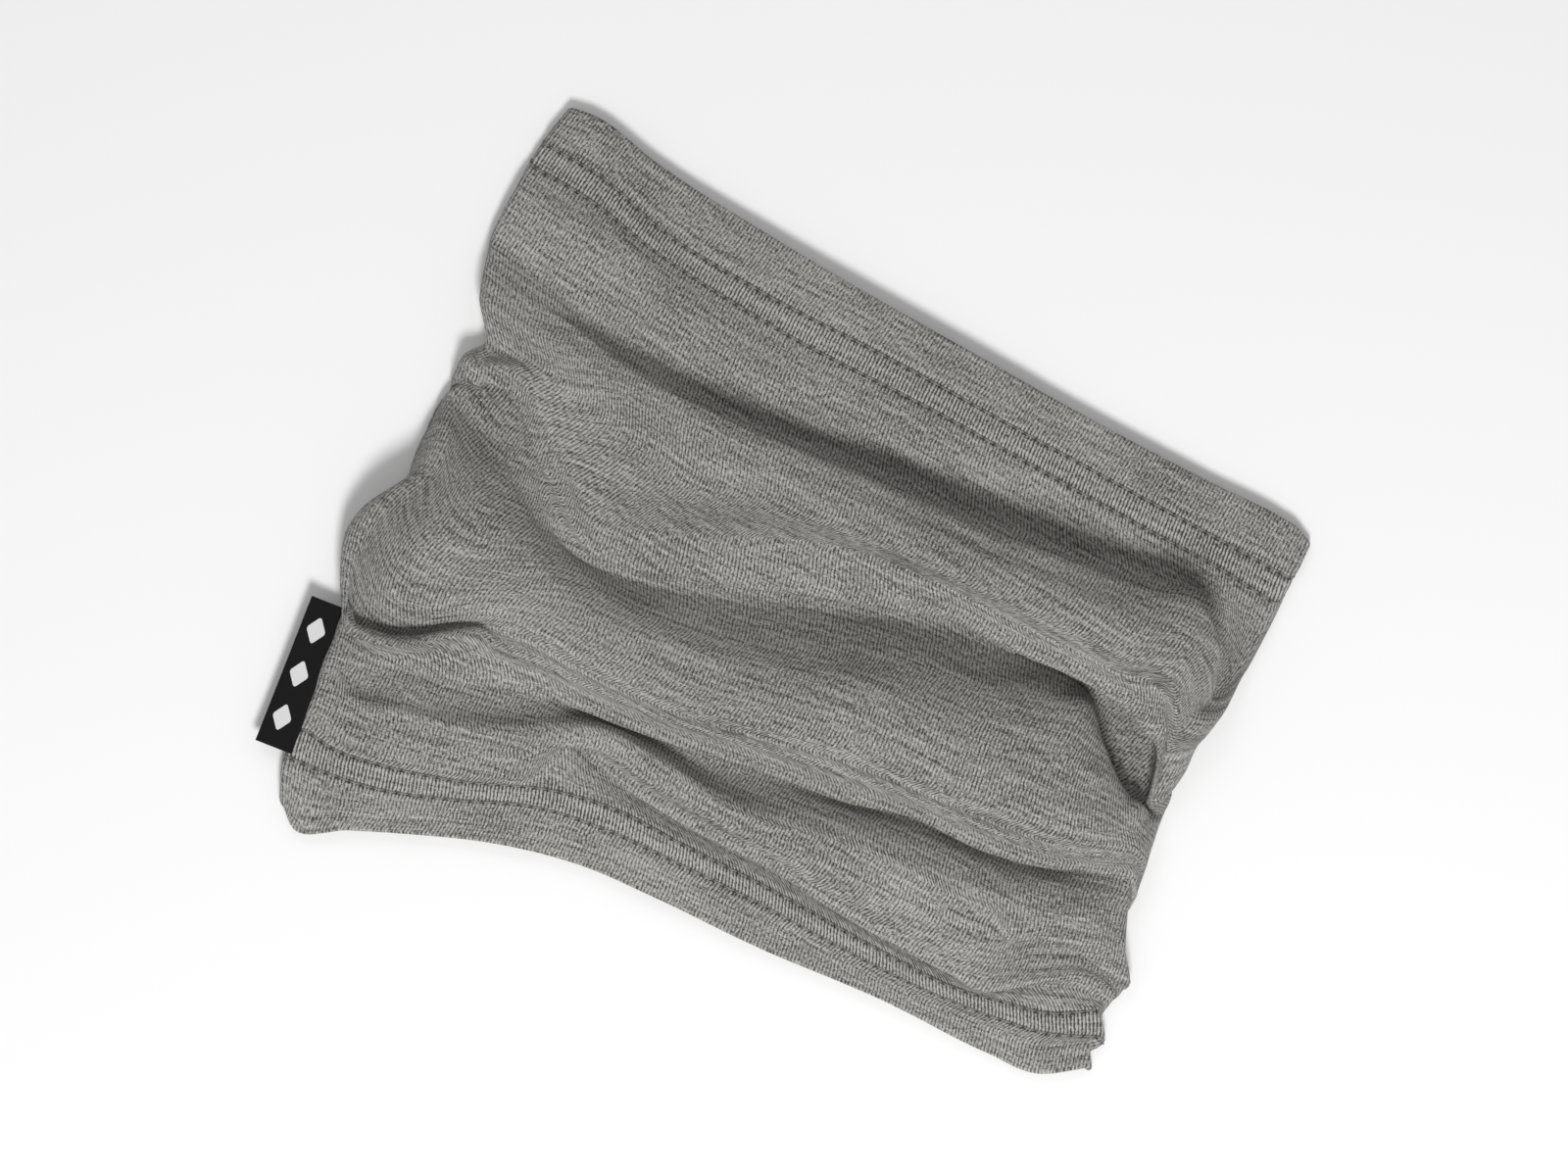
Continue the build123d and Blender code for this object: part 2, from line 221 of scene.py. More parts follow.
# How finely the laid cloth is divided.
FRONT_COLUMNS = 164
BACK_COLUMNS = 28
SIDE_COLUMNS = 9
ROW_STEP = 1.5
HEM_ROW_STEP = 1.0
PLY_GAP = 0.1
FLOOR_LIFT = 0.03
LOW = CLOTH / 2 + FLOOR_LIFT
LAY_EASING = 70

# A fold's shoulder, tuck and foot: how far each stands from the lip, the share of the drop that adds to
# that, and the share of the drop by which it rises or falls.
SHOULDER_BACK, SHOULDER_BACK_SHARE, SHOULDER_RISE = 1.6, 0.16, 0.22
TUCK_OUT, TUCK_BACK, TUCK_BACK_SHARE, TUCK_FALL = 0.9, 1.4, 0.3, 0.6
FOOT_OUT, FOOT_BACK, FOOT_BACK_SHARE, FOOT_FALL = 1.9, 1.0, 0.12, 0.85
TURNED_DROP, FADED_DROP = 3, 2.5
DROP_GAIN, LOFT_GAIN, LOFT_FROM = 1.3, 0.34, 5

# Small relief in the cloth: depth and half width of each.
ROW_DIP, ROW_DIP_WIDTH = 0.4, 1.3
HEM_SWELL, HEM_SWELL_AT, HEM_SWELL_WIDTH = 0.25, 8.0, 4.0
SEAM_DIP, SEAM_DIP_WIDTH = 0.6, 1.2
SHOWS_FROM, SHOWS_OVER = -0.6, 0.8
# The cloth's soft waves: height, and length and width of a wave.
BROAD_WAVE, BROAD_LENGTH, BROAD_WIDTH = 0.55, 30, 15
FINE_WAVE, FINE_LENGTH, FINE_WIDTH = 0.16, 9, 6


def lofted(height):
    """The cloth's real height where the drawn lines give their flatter one."""
    return height + LOFT_GAIN * np.maximum(height - LOFT_FROM, 0)


def hermite(a, b, enter, leave, t):
    """A curve from a to b that enters and leaves at the given slopes, at share t."""
    return a + t * (enter + t * (3 * (b - a) - 2 * enter - leave + t * (2 * (a - b) + enter + leave)))


def curve_through(knots, values, at):
    """A smooth curve through values at rising knots, read at other places."""
    knots, values, at = np.asarray(knots, float), np.asarray(values, float), np.asarray(at, float)
    step = np.diff(knots)
    slope = np.diff(values) / step
    tangent = np.empty(len(knots))
    tangent[1:-1] = (slope[:-1] * step[1:] + slope[1:] * step[:-1]) / (step[:-1] + step[1:])
    tangent[0], tangent[-1] = slope[0], slope[-1]
    piece = np.clip(np.searchsorted(knots, at) - 1, 0, len(step) - 1)
    t = (at - knots[piece]) / step[piece]
    a, b, d = values[piece], values[piece + 1], step[piece]
    return hermite(a, b, tangent[piece] * d, tangent[piece + 1] * d, t)


def smooth_step(t):
    """Rises smoothly from 0 to 1 as t does."""
    t = np.clip(t, 0, 1)
    return t * t * (3 - 2 * t)


def side_bulge(height):
    """How far a side fold stands outside the end of the front layer."""
    return 0.5 * (height - LOW)


def line_across(points, shares):
    """One drawn line as x, y, height and drop at each share of its width, inside the two side folds."""
    points = np.array(points, float)
    points[:, 2] = lofted(points[:, 2])
    if points.shape[1] > 3:
        points[:, 3] = DROP_GAIN * points[:, 3]
    left = points[0, 0] + side_bulge(points[0, 2])
    right = points[-1, 0] - side_bulge(points[-1, 2])
    points[0, 0], points[-1, 0] = left, right
    x = left + (right - left) * shares
    found = [x] + [curve_through(points[:, 0], points[:, k], x) for k in range(1, points.shape[1])]
    return np.stack(found, axis=1)


def fold_rows(points, shares, facing=-1):
    """Four rows for a fold that turns under: shoulder, lip, tuck and foot, with each point's drop.

    facing is the side that the fold overhangs.
    """
    x, y, z, drop = line_across(points, shares).T
    drop = np.maximum(drop, 0)
    turned = smooth_step(drop / TURNED_DROP)
    shoulder_y = y - facing * (SHOULDER_BACK + SHOULDER_BACK_SHARE * drop)
    shoulder = np.stack([x, shoulder_y, z + SHOULDER_RISE * drop], axis=1)
    lip = np.stack([x, y, z], axis=1)
    tuck_y = y + facing * (TUCK_OUT - turned * (TUCK_BACK + TUCK_BACK_SHARE * drop))
    tuck = np.stack([x, tuck_y, z - TUCK_FALL * drop], axis=1)
    foot_y = y + facing * (FOOT_OUT - turned * (FOOT_BACK + FOOT_BACK_SHARE * drop))
    foot = np.stack([x, foot_y, z - FOOT_FALL * drop], axis=1)
    rows = [shoulder, lip, tuck, foot]
    return (rows if facing < 0 else rows[::-1]), drop


def fade_folds(rows, folds):
    """Where a fold has hardly any drop, its four rows lie evenly on the slope between the rows around them."""
    for start, drop in folds:
        kept = smooth_step(drop / FADED_DROP)[:, None]
        before, above, below, after = (rows[start + k] for k in (-2, -1, 4, 5))
        gaps = [np.linalg.norm(b - a, axis=1, keepdims=True)
                for a, b in ((before, above), (above, below), (below, after))]
        enter = (below - before) * gaps[1] / (gaps[0] + gaps[1])
        leave = (after - above) * gaps[1] / (gaps[1] + gaps[2])
        for place in range(4):
            even = hermite(above, below, enter, leave, (place + 1) / 5)
            rows[start + place] = even + (rows[start + place] - even) * kept


def front_rows(shares):
    """Every drawn row of the front from the top hem to the bottom one, and the places of the named rows."""
    rows, named, folds = [], {}, []

    def plain(*lines):
        rows.extend(line_across(line, shares)[:, :3] for line in lines)

    def fold(line, facing=-1):
        turned, drop = fold_rows(line, shares, facing)
        folds.append((len(rows), drop))
        rows.extend(turned)

    for name, line in TOP_HEM.items():
        named["top_" + name] = len(rows)
        plain(line)
    plain(*BELOW_TOP_HEM)
    fold(RISE, facing=1)
    plain(*RIDGE_ONE)
    fold(LIP_ONE)
    plain(*VALLEY_ONE, *RIDGE_TWO, *BULGE_FOOT)
    fold(LIP_BULGE, facing=1)
    plain(*RIDGE_TWO_FOOT)
    fold(LIP_TWO)
    plain(*RIDGE_THREE)
    fold(LIP_POCKET)
    plain(*POCKET_FLOOR)
    fold(LIP_THREE)
    for name, line in BOTTOM_HEM.items():
        named["bottom_" + name] = len(rows)
        plain(line)
    rows = np.array(rows)
    fade_folds(rows, folds)
    hem_fold = CLOTH + PLY_GAP / 2
    rows[0, :, 1] -= hem_fold
    rows[-1, :, 1] += hem_fold
    return rows, named


def loft(rows, counts):
    """A smooth surface through the rows, and the place of each row in it.

    counts gives the number of steps from each row to the next.
    """
    gap = np.sqrt(np.maximum(np.linalg.norm(np.diff(rows, axis=0), axis=2), 0.05))[..., None]
    chord = np.diff(rows, axis=0)
    tangent = np.empty_like(rows)
    tangent[1:-1] = (chord[:-1] / gap[:-1] - (rows[2:] - rows[:-2]) / (gap[:-1] + gap[1:])
                     + chord[1:] / gap[1:])
    tangent[0], tangent[-1] = chord[0] / gap[0], chord[-1] / gap[-1]
    out, starts = [], []
    for i, count in enumerate(counts):
        starts.append(len(out))
        m, n = tangent[i] * gap[i], tangent[i + 1] * gap[i]
        out.extend(hermite(rows[i], rows[i + 1], m, n, t) for t in np.arange(count) / count)
    starts.append(len(out))
    out.append(rows[-1])
    return np.array(out), starts


def closed_rings(front):
    """Closes each front row into a ring that starts at the seam: left fold, front, right fold, back."""
    run = np.linalg.norm(np.diff(front, axis=0), axis=2).mean(axis=1)
    share = np.concatenate([[0], np.cumsum(run)])
    share /= share[-1]
    top, bottom = front[0], front[-1]
    turn = np.linspace(0, math.pi, SIDE_COLUMNS + 2)[1:-1]
    middle = SIDE_COLUMNS // 2
    rings = []

    def back_y(x, part):
        high = np.interp(x, top[:, 0], top[:, 1]) - BACK_INSET
        low = np.interp(x, bottom[:, 0], bottom[:, 1]) + BACK_INSET
        return high + (low - high) * part

    def side_fold(end, sign, part):
        foot = back_y(end[0], part)
        bulge = side_bulge(end[2])
        x = end[0] + sign * bulge * np.sin(turn)
        y = end[1] + (foot - end[1]) * (1 - np.cos(turn)) / 2
        z = LOW + (end[2] - LOW) * (1 + np.cos(turn)) / 2
        return np.stack([x, y, z], axis=1)

    for row, part in zip(front, share):
        right = side_fold(row[-1], 1, part)
        left = side_fold(row[0], -1, part)[::-1]
        x = np.linspace(row[-1, 0], row[0, 0], BACK_COLUMNS)
        back = np.stack([x, back_y(x, part), np.full_like(x, LOW)], axis=1)
        rings.append(np.concatenate([left[middle:], row, right, back, left[:middle]]))
    return np.array(rings)


def outward_normals(rings):
    """The way out of the cloth at each point."""
    across = np.roll(rings, -1, axis=1) - np.roll(rings, 1, axis=1)
    down = np.gradient(rings, axis=0)
    normal = np.cross(down, across)
    return normal / np.maximum(np.linalg.norm(normal, axis=2, keepdims=True), 1e-9)


def girth_of(rings):
    """Each point's distance from the seam, with every ring as long as the flat cloth is wide."""
    step = np.linalg.norm(np.roll(rings, -1, axis=1) - rings, axis=2)
    run = np.cumsum(step, axis=1)
    total = run[:, -1:]
    return np.concatenate([np.zeros_like(total), run[:, :-1]], axis=1) * FABRIC_GIRTH / total


class LaidCloth:
    """The middle of the cloth as it lies: rings of points from the top hem's edge to the bottom hem's."""

    def __init__(self):
        shares = np.linspace(0, 1, FRONT_COLUMNS)
        rows, named = front_rows(shares)
        length = np.linalg.norm(np.diff(rows, axis=0), axis=2).mean(axis=1)
        step = np.full(len(length), ROW_STEP)
        step[: named["top_inner"] + 1] = HEM_ROW_STEP
        step[named["bottom_inner"] - 1:] = HEM_ROW_STEP
        front, starts = loft(rows, np.maximum(2, np.round(length / step)).astype(int))
        self.ring_of = {name: starts[place] for name, place in named.items()}
        self.points = closed_rings(front)
        self.normals = outward_normals(self.points)
        self.girth = girth_of(self.points)
        self.depth = self.depth_from_top()
        self.settle()
        self.normals = outward_normals(self.points)

    def depth_from_top(self):
        """Each point's distance down the flat cloth from the top edge, alike along each row of stitches."""
        run = np.linalg.norm(np.diff(self.points, axis=0), axis=2)
        run = np.concatenate([np.zeros((1, run.shape[1])), np.cumsum(run, axis=0)])
        marks = [("top_edge", 0), ("top_outer", OUTER_ROW), ("top_inner", INNER_ROW),
                 ("bottom_inner", FABRIC_LENGTH - INNER_ROW), ("bottom_outer", FABRIC_LENGTH - OUTER_ROW),
                 ("bottom_edge", FABRIC_LENGTH)]
        depth = np.zeros_like(run)
        for (first, high), (last, low) in zip(marks, marks[1:]):
            a, b = self.ring_of[first], self.ring_of[last]
            depth[a:b + 1] = high + (low - high) * (run[a:b + 1] - run[a]) / (run[b] - run[a])
        for _ in range(LAY_EASING):
            depth = (np.roll(depth, 1, axis=1) + 2 * depth + np.roll(depth, -1, axis=1)) / 4
        return depth

    def settle(self):
        """Sinks the stitch rows and the seam a little and gives the cloth the small waves of a soft knit."""
        dip = np.zeros_like(self.depth)
        for row in STITCH_ROWS:
            dip += ROW_DIP * np.exp(-((self.depth - row) / ROW_DIP_WIDTH) ** 2)
        hem = np.minimum(self.depth, FABRIC_LENGTH - self.depth)
        dip -= HEM_SWELL * np.exp(-((hem - HEM_SWELL_AT) / HEM_SWELL_WIDTH) ** 2)
        seam = np.minimum(self.girth, FABRIC_GIRTH - self.girth)
        dip += SEAM_DIP * np.exp(-(seam / SEAM_DIP_WIDTH) ** 2)
        waves = np.array([[self.wave(point) for point in ring] for ring in self.points])
        showing = smooth_step((self.normals[..., 2] - SHOWS_FROM) / SHOWS_OVER)
        self.points = self.points - self.normals * ((dip - waves) * showing)[..., None]

    @staticmethod
    def wave(point):
        """The height of the soft waves at a point."""
        x, y, z = point
        broad = noise.noise(Vector((x / BROAD_LENGTH, y / BROAD_WIDTH, z / BROAD_WIDTH)))
        fine = noise.noise(Vector((x / FINE_LENGTH + 40, y / FINE_WIDTH, z / FINE_WIDTH)))
        return BROAD_WAVE * broad + FINE_WAVE * fine

    def at(self, ring, girth):
        """Points and normals at distances round one ring, which may lie between two."""
        low = min(int(ring), len(self.points) - 2)
        part = ring - low
        found = []
        for values in (self.points, self.normals):
            sides = [np.stack([np.interp(girth, np.append(self.girth[r], FABRIC_GIRTH),
                                         np.append(values[r, :, k], values[r, 0, k]))
                               for k in range(3)], axis=-1)
                     for r in (low, low + 1)]
            found.append(sides[0] * (1 - part) + sides[1] * part)
        return found


_cloth = []


def laid_cloth():
    """The one laid cloth, made when it is first asked for."""
    if not _cloth:
        _cloth.append(LaidCloth())
    return _cloth[0]


def turned_in(points, normals, depth, edge_depth, sign):
    """Rows of a hem from its raw edge inside to the fold at its edge, for rows given from the edge inwards."""
    ply = CLOTH + PLY_GAP
    edge, normal = points[0], normals[0]
    along = points[0] - points[1]
    along -= (along * normal).sum(axis=1, keepdims=True) * normal
    along /= np.maximum(np.linalg.norm(along, axis=1, keepdims=True), 1e-9)
    angles = [share * math.pi for share, _ in HEM_TURN]
    tip = [edge - normal * (ply / 2) * (1 - math.cos(a)) + along * (ply / 2) * math.sin(a) for a in angles]
    inner = points - normals * ply
    rows = list(inner[::-1]) + tip
    inner_depth = [edge_depth - sign * abs(d - edge_depth) for d in depth.mean(axis=1)[::-1]]
    inner_depth += [edge_depth - sign * away for _, away in HEM_TURN]
    return rows, inner_depth


def new_piece(name, verts, faces, material):
    """A new mesh object from points in millimetres."""
    mesh = bpy.data.meshes.new(name)
    mesh.from_pydata((np.asarray(verts) * MM).tolist(), [], [tuple(int(i) for i in face) for face in faces])
    mesh.polygons.foreach_set("use_smooth", [True] * len(mesh.polygons))
    mesh.update()
    piece = bpy.data.objects.new(name, mesh)
    bpy.context.scene.collection.objects.link(piece)
    mesh.materials.append(material)
    return piece


def make_active(piece):
    """Selects one piece alone, for the operators that work on the active object."""
    bpy.ops.object.select_all(action="DESELECT")
    piece.select_set(True)
    bpy.context.view_layer.objects.active = piece


def face_outwards(piece):
    """Turns every face outwards."""
    make_active(piece)
    bpy.ops.object.mode_set(mode="EDIT")
    bpy.ops.mesh.select_all(action="SELECT")
    bpy.ops.mesh.normals_make_consistent(inside=False)
    bpy.ops.object.mode_set(mode="OBJECT")


def give_thickness(piece, thickness):
    """Makes a solid sheet of a surface, half of the thickness to each side."""
    make_active(piece)
    wall = piece.modifiers.new("thickness", "SOLIDIFY")
    wall.thickness = thickness * MM
    wall.offset = 0
    wall.use_even_offset = False
    bpy.ops.object.modifier_apply(modifier=wall.name)


def sweep(paths, ups, radius, sides):
    """Threads along paths of equally many points: their vertices and faces, closed at both ends."""
    paths = np.asarray(paths, float)
    count, long = paths.shape[:2]
    along = np.gradient(paths, axis=1)
    along /= np.linalg.norm(along, axis=2, keepdims=True)
    side = np.cross(along, ups)
    side /= np.maximum(np.linalg.norm(side, axis=2, keepdims=True), 1e-9)
    up = np.cross(side, along)
    turn = np.arange(sides) * 2 * math.pi / sides
    width = np.broadcast_to(np.asarray(radius, float), paths.shape[:2])[:, :, None, None]
    round_it = np.cos(turn)[:, None] * side[:, :, None] + np.sin(turn)[:, None] * up[:, :, None]
    verts = paths[:, :, None] + width * round_it
    faces = []
    for n in range(count):
        start = n * long * sides
        for i in range(long - 1):
            for j in range(sides):
                a, b = start + i * sides + j, start + i * sides + (j + 1) % sides
                faces.append((a, b, b + sides, a + sides))
        faces.append(tuple(start + j for j in reversed(range(sides))))
        faces.append(tuple(start + (long - 1) * sides + j for j in range(sides)))
    return verts.reshape(-1, 3), faces


# ---- finishes ----


class Wire:
    """A number that changes over a surface. Sums with it add their own Math nodes."""

    def __init__(self, finish, socket):
        self.finish, self.socket = finish, socket

    def maths(self, operation, *others, clamp=False):
        node = self.finish.tree.nodes.new("ShaderNodeMath")
        node.operation = operation
        node.use_clamp = clamp
        for place, value in enumerate((self,) + others):
            self.finish.join(value, node.inputs[place])
        return Wire(self.finish, node.outputs[0])

    def __add__(self, other):
        return self.maths("ADD", other)

    def __sub__(self, other):
        return self.maths("SUBTRACT", other)

    def __rsub__(self, other):
        return (self * -1) + other

    def __mul__(self, other):
        return self.maths("MULTIPLY", other)

    def __truediv__(self, other):
        return self.maths("DIVIDE", other)

    __radd__, __rmul__ = __add__, __mul__

    def __abs__(self):
        return self.maths("ABSOLUTE")

    def fraction(self):
        return self.maths("FRACT")

    def most(self, other):
        return self.maths("MAXIMUM", other)

    def root(self):
        return self.maths("SQRT")

    def clamped(self):
        return self.maths("MULTIPLY_ADD", 1.0, 0.0, clamp=True)

    def ramp(self, first, last):
        """Rises smoothly from 0 at first to 1 at last, or falls where last is the lower."""
        node = self.finish.node("ShaderNodeMapRange", {"interpolation_type": "SMOOTHSTEP"},
                                {"Value": self, "From Min": min(first, last), "From Max": max(first, last),
                                 "To Min": float(first > last), "To Max": float(first <= last)})
        return Wire(self.finish, node.outputs["Result"])


class Finish:
    """A new material, whose nodes come from one method."""

    def __init__(self, name, **constants):
        self.material = bpy.data.materials.new(name)
        self.material.use_nodes = True
        self.tree = self.material.node_tree
        self.shader = self.tree.nodes["Principled BSDF"]
        for socket, value in constants.items():
            self.shader.inputs[socket.replace("_", " ")].default_value = value

    def join(self, value, socket):
        if isinstance(value, Wire):
            self.tree.links.new(value.socket, socket)
        elif isinstance(value, bpy.types.NodeSocket):
            self.tree.links.new(value, socket)
        else:
            socket.default_value = value

    def node(self, kind, settings=None, sockets=None):
        node = self.tree.nodes.new(kind)
        for key, value in (settings or {}).items():
            setattr(node, key, value)
        for key, value in (sockets or {}).items():
            self.join(value, node.inputs[key])
        return node

    def wire(self, node, output):
        return Wire(self, node.outputs[output])

    def cloth_lay(self):
        """Distances over the flat cloth in millimetres: round the tube and down it."""
        lay = self.node("ShaderNodeUVMap", {"uv_map": "cloth_lay"})
        parts = self.node("ShaderNodeSeparateXYZ", None, {"Vector": lay.outputs["UV"]})
        return self.wire(parts, "X"), self.wire(parts, "Y")

    def noise(self, x, y, z=0.0, scale=1.0, detail=2.0, roughness=0.5):
        place = self.node("ShaderNodeCombineXYZ", None, {"X": x, "Y": y, "Z": z})
        made = self.node("ShaderNodeTexNoise", {"noise_dimensions": "3D"},
                         {"Vector": place.outputs[0], "Scale": scale, "Detail": detail,
                          "Roughness": roughness})
        return self.wire(made, "Fac")

    def blended(self, share, first, second):
        share_in, first_in, second_in, colour_out = 0, 6, 7, 2
        mix = self.node("ShaderNodeMix", {"data_type": "RGBA"},
                        {share_in: share, first_in: first, second_in: second})
        return mix.outputs[colour_out]

    def bump(self, height, depth):
        """The surface moved by height, from 0 to 1, times depth in millimetres."""
        bump = self.node("ShaderNodeBump", None, {"Strength": 1.0, "Distance": depth * MM, "Height": height})
        self.join(bump.outputs["Normal"], self.shader.inputs["Normal"])

    def colour(self, socket):
        self.join(socket, self.shader.inputs["Base Color"])


def highest(wires):
    """The highest of several wires at each place."""
    return functools.reduce(Wire.most, wires)


def jersey_finish(look):
    """Heathered grey jersey: streaks of light and dark wool; wales and courses with painted shade in the
    grooves between them; sunk stitch rows, with painted shade where the needle passes and along the rows.
    """
    finish = Finish("merino_jersey", Roughness=0.96, Specular_IOR_Level=0.12, Sheen_Weight=0.18,
                    Sheen_Roughness=0.5)
    u, v = finish.cloth_lay()
    wale, course = look.wale_pitch, look.course_pitch
    drift = finish.noise(u, v, scale=0.35, detail=2) - 0.5
    across = (u + drift * 0.5) / wale
    leg = abs(across.fraction() - 0.5)
    slant = leg * 1.1
    stitch = ((v + drift * 0.4) / course + slant).fraction()
    # Painted shade: in the colour the next two masks lighten the raised yarn and darken the grooves between
    # stitches and between wales; the first also gives the knit's relief in the bump.
    loop_relief_and_shade = (abs(leg - 0.25) * -4.0 + 1.0) * (abs(stitch - 0.5) * -1.3 + 1.0)
    # Painted shade across each wale: lightest at its middle, darkest in the groove at its edge.
    wave = leg * -2.0 + 1.0
    yarn = finish.noise(u * 2.2, v * 2.0, 3.0, detail=2, roughness=0.7)
    streak = finish.noise(u * 0.045, v * 0.8, 7.0, detail=3, roughness=0.6)
    short = finish.noise(u * 0.22, v * 2.6, 11.0, detail=2, roughness=0.6)
    stroke = finish.noise(u * 2.1, v * 0.75, 19.0, detail=2, roughness=0.55)
    broad = finish.noise(u, v, 17.0, scale=0.02, detail=2)
    nap = finish.noise(u, v, 23.0, scale=6.0, detail=2, roughness=0.7)
    tone = ((streak - 0.5) * 1.2 + (short - 0.5) * 0.7 + (stroke - 0.5) * 2.0 + (yarn - 0.5) * 1.6
            + (nap - 0.5) * 1.9 + (broad - 0.5) * 0.3)
    # Painted shade: the wale shade is stronger in the band between each hem's two stitch rows.
    hem_band_wale_shade = highest(abs(v - middle).ramp(7.0, 2.5) for middle in (HEM_MIDDLE, FABRIC_LENGTH - HEM_MIDDLE))
    tone = tone + hem_band_wale_shade * (wave - 0.5) * 0.55
    tone = (tone + loop_relief_and_shade * 0.16 + wave * 0.62 + 0.07).clamped()
    beat = abs((u / STITCH_PITCH).fraction() - 0.5) * -STITCH_PITCH + STITCH_PITCH / 2
    from_rows = [abs(v - row) for row in STITCH_ROWS]
    # Painted shade: where the needle passes and along the stitch rows the colour is darkened, besides the
    # dents in the bump.
    needle_holes_and_shade = highest((away * away + beat * beat * 0.4).root().ramp(0.85, 0.25) for away in from_rows)
    row_dip_and_shade = highest(away.ramp(1.5, 0.2) for away in from_rows)
    pucker = highest(away.ramp(4.0, 0.6) * beat.ramp(0.2, 1.4) for away in from_rows)
    wool = finish.blended(tone, tuple(look.dark_wool) + (1,), tuple(look.light_wool) + (1,))
    # Painted shade: near-black where the needle passes, a little darker along the stitch rows.
    shaded = finish.blended(needle_holes_and_shade * (nap * 0.8 + 0.36) + row_dip_and_shade * 0.12, wool, (0.03, 0.03, 0.029, 1))
    finish.colour(shaded)
    height = (loop_relief_and_shade * 0.30 + yarn * 0.35 + nap * 0.25 + streak * 0.2 - needle_holes_and_shade * 1.2 - row_dip_and_shade * 0.5
              + pucker * 0.5)
    finish.bump(height, look.knit_depth)
    return finish.material


def thread_finish(look):
    """Spun grey thread."""
    finish = Finish("sewing_thread", Roughness=0.8, Specular_IOR_Level=0.2, Sheen_Weight=0.2)
    place = finish.node("ShaderNodeTexCoord")
    twist = finish.node("ShaderNodeTexNoise", None,
                        {"Vector": place.outputs["Object"], "Scale": 2600.0, "Detail": 2.0})
    share = finish.wire(twist, "Fac")
    finish.colour(finish.blended(share.ramp(0.3, 0.7), tuple(0.75 * c for c in look.thread_colour) + (1,),
                                 tuple(1.2 * c for c in look.thread_colour) + (1,)))
    finish.bump(share, 0.05)
    return finish.material


def ribbon_finish(name, colour, dark, roughness, rib, depth, sheen):
    """A woven ribbon whose ribs run across it and whose weft shows as fine marks."""
    finish = Finish(name, Roughness=roughness, Specular_IOR_Level=0.15, Sheen_Weight=sheen)
    u, v = finish.cloth_lay()
    weft = abs((v / rib).fraction() - 0.5) * 2.0
    warp = abs((u / rib + (v / (2 * rib)).fraction().ramp(0.49, 0.51) * 0.5).fraction() - 0.5) * 2.0
    weave = weft.ramp(0.1, 0.9) * 0.6 + warp.ramp(0.1, 0.9) * 0.4
    fuzz = finish.noise(u, v, scale=3.0, detail=2)
    finish.colour(finish.blended(weave * 0.7 + fuzz * 0.5, tuple(dark) + (1,), tuple(colour) + (1,)))
    finish.bump(weave + fuzz * 0.4, depth)
    return finish.material


def set_lay(piece, lay_of):
    """Writes the map of flat distances, from a function of a mesh's vertex array in millimetres."""
    mesh = piece.data
    verts = np.empty(len(mesh.vertices) * 3)
    mesh.vertices.foreach_get("co", verts)
    flat = lay_of(verts.reshape(-1, 3) / MM)
    corner = np.empty(len(mesh.loops), int)
    mesh.loops.foreach_get("vertex_index", corner)
    layer = mesh.uv_layers.new(name="cloth_lay")
    layer.uv.foreach_set("vector", flat[corner].astype(np.float32).ravel())


# ---- pieces ----


def jersey_tube(material):
    """The knitted tube, from the raw edge inside one hem to the raw edge inside the other."""
    cloth = laid_cloth()
    last_top = cloth.ring_of["top_inner"] + 2
    first_low = cloth.ring_of["bottom_inner"] - 2
    top, top_depth = turned_in(cloth.points[:last_top + 1], cloth.normals[:last_top + 1],
                               cloth.depth[:last_top + 1], 0.0, 1)
    low, low_depth = turned_in(cloth.points[first_low:][::-1], cloth.normals[first_low:][::-1],
                               cloth.depth[first_low:][::-1], FABRIC_LENGTH, -1)
    rings = np.concatenate([top, cloth.points, low[::-1]])
    columns = rings.shape[1]
    girth = np.concatenate([np.repeat(cloth.girth[:1], len(top), 0), cloth.girth,
                            np.repeat(cloth.girth[-1:], len(low), 0)])
    depth = np.concatenate([np.repeat(np.array(top_depth)[:, None], columns, 1), cloth.depth,
                            np.repeat(np.array(low_depth[::-1])[:, None], columns, 1)])
    faces, lay = [], []
    for i in range(len(rings) - 1):
        for j in range(columns):
            k = (j + 1) % columns
            faces.append((i * columns + j, (i + 1) * columns + j, (i + 1) * columns + k, i * columns + k))
            far = [girth[i, k], girth[i + 1, k]] if k else [FABRIC_GIRTH, FABRIC_GIRTH]
            lay += [(girth[i, j], depth[i, j]), (girth[i + 1, j], depth[i + 1, j]), (far[1], depth[i + 1, k]),
                    (far[0], depth[i, k])]
    piece = new_piece("jersey_tube", rings.reshape(-1, 3), faces, material)
    layer = piece.data.uv_layers.new(name="cloth_lay")
    layer.uv.foreach_set("vector", np.array(lay, np.float32).ravel())
    give_thickness(piece, CLOTH)
    return piece


def hem_stitches(name, ring_name, thread, material):
    """One row of needle stitches: a short run of thread on the cloth between one needle hole and the next."""
    cloth = laid_cloth()
    ring = cloth.ring_of[ring_name]
    part = np.linspace(0.06, 0.94, 6)
    girth = (np.arange(STITCH_COUNT)[:, None] + part) * STITCH_PITCH
    points, normals = cloth.at(ring, girth)
    lift = CLOTH / 2 - STITCH_SUNK + STITCH_ARCH * np.sin(part * math.pi) ** 0.6
    under = smooth_step(-normals[..., 2] * 2 - 0.6) * STITCH_UNDER
    paths = points + normals * (lift - under)[..., None]
    verts, faces = sweep(paths, normals, thread.radius / MM, 6)
    return new_piece(name, verts, faces, material)


